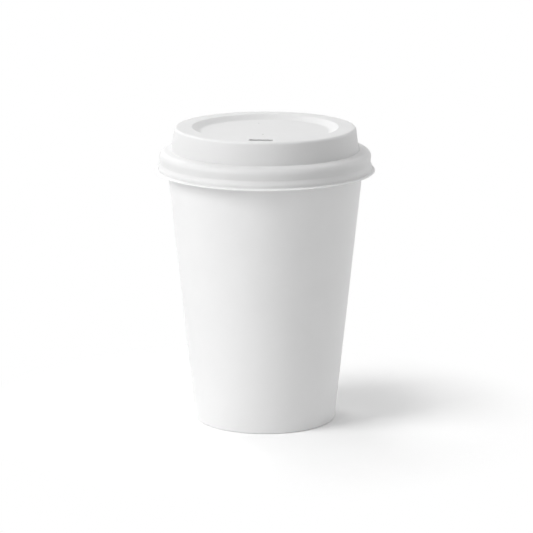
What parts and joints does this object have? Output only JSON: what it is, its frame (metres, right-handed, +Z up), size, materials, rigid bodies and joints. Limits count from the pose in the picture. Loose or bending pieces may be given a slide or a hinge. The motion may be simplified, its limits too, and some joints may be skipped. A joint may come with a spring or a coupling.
{
  "type": "reusable coffee cup",
  "caption": "Tapered drinking cup with a beaded rim and a press-on domed sip lid with a dished panel, a drinking slot and vent holes.",
  "frame": {"origin": "centre of the foot ring, on the surface that the cup stands on", "axes": "+Z up along the axis of the cup and lid; the sip slot is on the -Y side, so +Y is the back and +X the right of someone facing the slot"},
  "size_m": [0.0936, 0.0936, 0.127],
  "materials": {
    "cup": "fine matt, plain white",
    "lid": "fine matt, plain white"
  },
  "bodies": {
    "cup": {"cup": "cup"},
    "lid": {"lid": "lid"}
  },
  "joints": [
    {"name": "lid_lift", "type": "slide", "parent": "cup", "child": "lid", "axis": [0, 0, 1], "range_m": [0, 0.04]}
  ]
}
